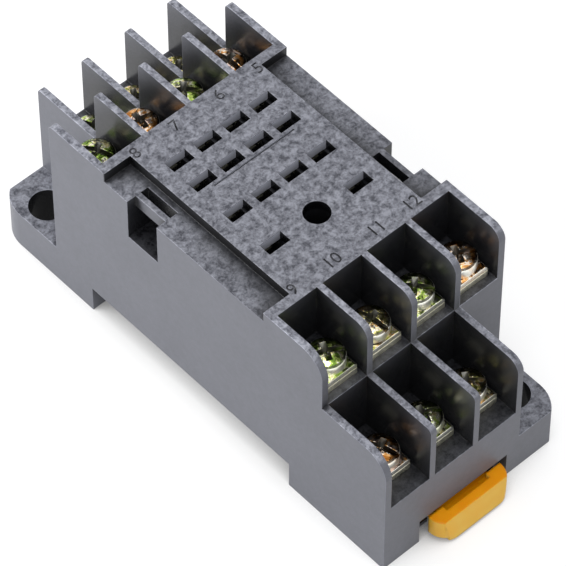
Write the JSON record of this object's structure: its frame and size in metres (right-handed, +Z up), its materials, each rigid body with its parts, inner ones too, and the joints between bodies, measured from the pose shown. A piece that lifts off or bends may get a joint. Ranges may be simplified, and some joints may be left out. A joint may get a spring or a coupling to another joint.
{
  "type": "relay socket",
  "caption": "Screw-terminal socket for a plug-in blade relay, with two-tier terminals, panel ears and a sliding latch for a 35 mm rail.",
  "frame": {"origin": "midway between the two panel holes, in the plane of the feet's undersides", "axes": "+Z up from the feet to the relay's seat, Y along the socket with the rail latch at the Y- end, X across it along the rail"},
  "size_m": [0.029, 0.072, 0.0295],
  "materials": {
    "housing": "moulded thermoplastic, lightly mottled",
    "cover": "moulded thermoplastic",
    "rivet": "plated tubular rivet",
    "latch": "satin orange moulding",
    "strip": "yellow-passivated contact strip",
    "washer": "yellow-passivated zinc",
    "screw": "yellow-passivated zinc with an iridescent tint"
  },
  "bodies": {
    "root": {"housing": "housing", "base_cover": "cover", "cover_rivet": "rivet", "terminal_01": "strip", "terminal_02": "strip", "terminal_03": "strip", "terminal_04": "strip", "terminal_05": "strip", "terminal_06": "strip", "terminal_07": "strip", "terminal_08": "strip", "terminal_09": "strip", "terminal_10": "strip", "terminal_11": "strip", "terminal_12": "strip", "terminal_13": "strip", "terminal_14": "strip"},
    "latch": {"din_latch": "latch"},
    "clamp_01": {"washer_01": "washer"},
    "screw_01": {"screw_01": "screw"},
    "clamp_02": {"washer_02": "washer"},
    "screw_02": {"screw_02": "screw"},
    "clamp_03": {"washer_03": "washer"},
    "screw_03": {"screw_03": "screw"},
    "clamp_04": {"washer_04": "washer"},
    "screw_04": {"screw_04": "screw"},
    "clamp_05": {"washer_05": "washer"},
    "screw_05": {"screw_05": "screw"},
    "clamp_06": {"washer_06": "washer"},
    "screw_06": {"screw_06": "screw"},
    "clamp_07": {"washer_07": "washer"},
    "screw_07": {"screw_07": "screw"},
    "clamp_08": {"washer_08": "washer"},
    "screw_08": {"screw_08": "screw"},
    "clamp_09": {"washer_09": "washer"},
    "screw_09": {"screw_09": "screw"},
    "clamp_10": {"washer_10": "washer"},
    "screw_10": {"screw_10": "screw"},
    "clamp_11": {"washer_11": "washer"},
    "screw_11": {"screw_11": "screw"},
    "clamp_12": {"washer_12": "washer"},
    "screw_12": {"screw_12": "screw"},
    "clamp_13": {"washer_13": "washer"},
    "screw_13": {"screw_13": "screw"},
    "clamp_14": {"washer_14": "washer"},
    "screw_14": {"screw_14": "screw"}
  },
  "joints": [
    {"name": "latch_slide", "type": "slide", "parent": "root", "child": "latch", "axis": [0, -1, 0], "range_m": [0, 0.0025], "stiffness_N_per_m": 1000, "springref_m": -0.002},
    {"name": "screw_01_lift", "type": "slide", "parent": "root", "child": "clamp_01", "axis": [0, 0, 1], "range_m": [0, 0.002]},
    {"name": "screw_01_turn", "type": "hinge", "parent": "clamp_01", "child": "screw_01", "pos_m": [-0.00349, 0.0293, 0.0146], "axis": [0, 0, 1], "range_deg": [0, 1442]},
    {"name": "screw_02_lift", "type": "slide", "parent": "root", "child": "clamp_02", "axis": [0, 0, 1], "range_m": [0, 0.002]},
    {"name": "screw_02_turn", "type": "hinge", "parent": "clamp_02", "child": "screw_02", "pos_m": [0.00349, 0.0293, 0.0146], "axis": [0, 0, 1], "range_deg": [0, 1442]},
    {"name": "screw_03_lift", "type": "slide", "parent": "root", "child": "clamp_03", "axis": [0, 0, 1], "range_m": [0, 0.002]},
    {"name": "screw_03_turn", "type": "hinge", "parent": "clamp_03", "child": "screw_03", "pos_m": [0.01046, 0.0293, 0.0146], "axis": [0, 0, 1], "range_deg": [0, 1442]},
    {"name": "screw_04_lift", "type": "slide", "parent": "root", "child": "clamp_04", "axis": [0, 0, 1], "range_m": [0, 0.002]},
    {"name": "screw_04_turn", "type": "hinge", "parent": "clamp_04", "child": "screw_04", "pos_m": [-0.00349, -0.0293, 0.0146], "axis": [0, 0, 1], "range_deg": [0, 1442]},
    {"name": "screw_05_lift", "type": "slide", "parent": "root", "child": "clamp_05", "axis": [0, 0, 1], "range_m": [0, 0.002]},
    {"name": "screw_05_turn", "type": "hinge", "parent": "clamp_05", "child": "screw_05", "pos_m": [0.01046, 0.0201, 0.024], "axis": [0, 0, 1], "range_deg": [0, 1442]},
    {"name": "screw_06_lift", "type": "slide", "parent": "root", "child": "clamp_06", "axis": [0, 0, 1], "range_m": [0, 0.002]},
    {"name": "screw_06_turn", "type": "hinge", "parent": "clamp_06", "child": "screw_06", "pos_m": [0.00349, 0.0201, 0.024], "axis": [0, 0, 1], "range_deg": [0, 1442]},
    {"name": "screw_07_lift", "type": "slide", "parent": "root", "child": "clamp_07", "axis": [0, 0, 1], "range_m": [0, 0.002]},
    {"name": "screw_07_turn", "type": "hinge", "parent": "clamp_07", "child": "screw_07", "pos_m": [-0.00349, 0.0201, 0.024], "axis": [0, 0, 1], "range_deg": [0, 1442]},
    {"name": "screw_08_lift", "type": "slide", "parent": "root", "child": "clamp_08", "axis": [0, 0, 1], "range_m": [0, 0.002]},
    {"name": "screw_08_turn", "type": "hinge", "parent": "clamp_08", "child": "screw_08", "pos_m": [-0.01046, 0.0201, 0.024], "axis": [0, 0, 1], "range_deg": [0, 1442]},
    {"name": "screw_09_lift", "type": "slide", "parent": "root", "child": "clamp_09", "axis": [0, 0, 1], "range_m": [0, 0.002]},
    {"name": "screw_09_turn", "type": "hinge", "parent": "clamp_09", "child": "screw_09", "pos_m": [-0.01046, -0.0201, 0.024], "axis": [0, 0, 1], "range_deg": [0, 1442]},
    {"name": "screw_10_lift", "type": "slide", "parent": "root", "child": "clamp_10", "axis": [0, 0, 1], "range_m": [0, 0.002]},
    {"name": "screw_10_turn", "type": "hinge", "parent": "clamp_10", "child": "screw_10", "pos_m": [-0.00349, -0.0201, 0.024], "axis": [0, 0, 1], "range_deg": [0, 1442]},
    {"name": "screw_11_lift", "type": "slide", "parent": "root", "child": "clamp_11", "axis": [0, 0, 1], "range_m": [0, 0.002]},
    {"name": "screw_11_turn", "type": "hinge", "parent": "clamp_11", "child": "screw_11", "pos_m": [0.00349, -0.0201, 0.024], "axis": [0, 0, 1], "range_deg": [0, 1442]},
    {"name": "screw_12_lift", "type": "slide", "parent": "root", "child": "clamp_12", "axis": [0, 0, 1], "range_m": [0, 0.002]},
    {"name": "screw_12_turn", "type": "hinge", "parent": "clamp_12", "child": "screw_12", "pos_m": [0.01046, -0.0201, 0.024], "axis": [0, 0, 1], "range_deg": [0, 1442]},
    {"name": "screw_13_lift", "type": "slide", "parent": "root", "child": "clamp_13", "axis": [0, 0, 1], "range_m": [0, 0.002]},
    {"name": "screw_13_turn", "type": "hinge", "parent": "clamp_13", "child": "screw_13", "pos_m": [-0.01046, -0.0293, 0.0146], "axis": [0, 0, 1], "range_deg": [0, 1442]},
    {"name": "screw_14_lift", "type": "slide", "parent": "root", "child": "clamp_14", "axis": [0, 0, 1], "range_m": [0, 0.002]},
    {"name": "screw_14_turn", "type": "hinge", "parent": "clamp_14", "child": "screw_14", "pos_m": [0.00349, -0.0293, 0.0146], "axis": [0, 0, 1], "range_deg": [0, 1442]}
  ],
  "couplings": [
    {"joint": "screw_01_turn", "follows": "screw_01_lift", "rad_per_m": 12566},
    {"joint": "screw_02_turn", "follows": "screw_02_lift", "rad_per_m": 12566},
    {"joint": "screw_03_turn", "follows": "screw_03_lift", "rad_per_m": 12566},
    {"joint": "screw_04_turn", "follows": "screw_04_lift", "rad_per_m": 12566},
    {"joint": "screw_05_turn", "follows": "screw_05_lift", "rad_per_m": 12566},
    {"joint": "screw_06_turn", "follows": "screw_06_lift", "rad_per_m": 12566},
    {"joint": "screw_07_turn", "follows": "screw_07_lift", "rad_per_m": 12566},
    {"joint": "screw_08_turn", "follows": "screw_08_lift", "rad_per_m": 12566},
    {"joint": "screw_09_turn", "follows": "screw_09_lift", "rad_per_m": 12566},
    {"joint": "screw_10_turn", "follows": "screw_10_lift", "rad_per_m": 12566},
    {"joint": "screw_11_turn", "follows": "screw_11_lift", "rad_per_m": 12566},
    {"joint": "screw_12_turn", "follows": "screw_12_lift", "rad_per_m": 12566},
    {"joint": "screw_13_turn", "follows": "screw_13_lift", "rad_per_m": 12566},
    {"joint": "screw_14_turn", "follows": "screw_14_lift", "rad_per_m": 12566}
  ]
}
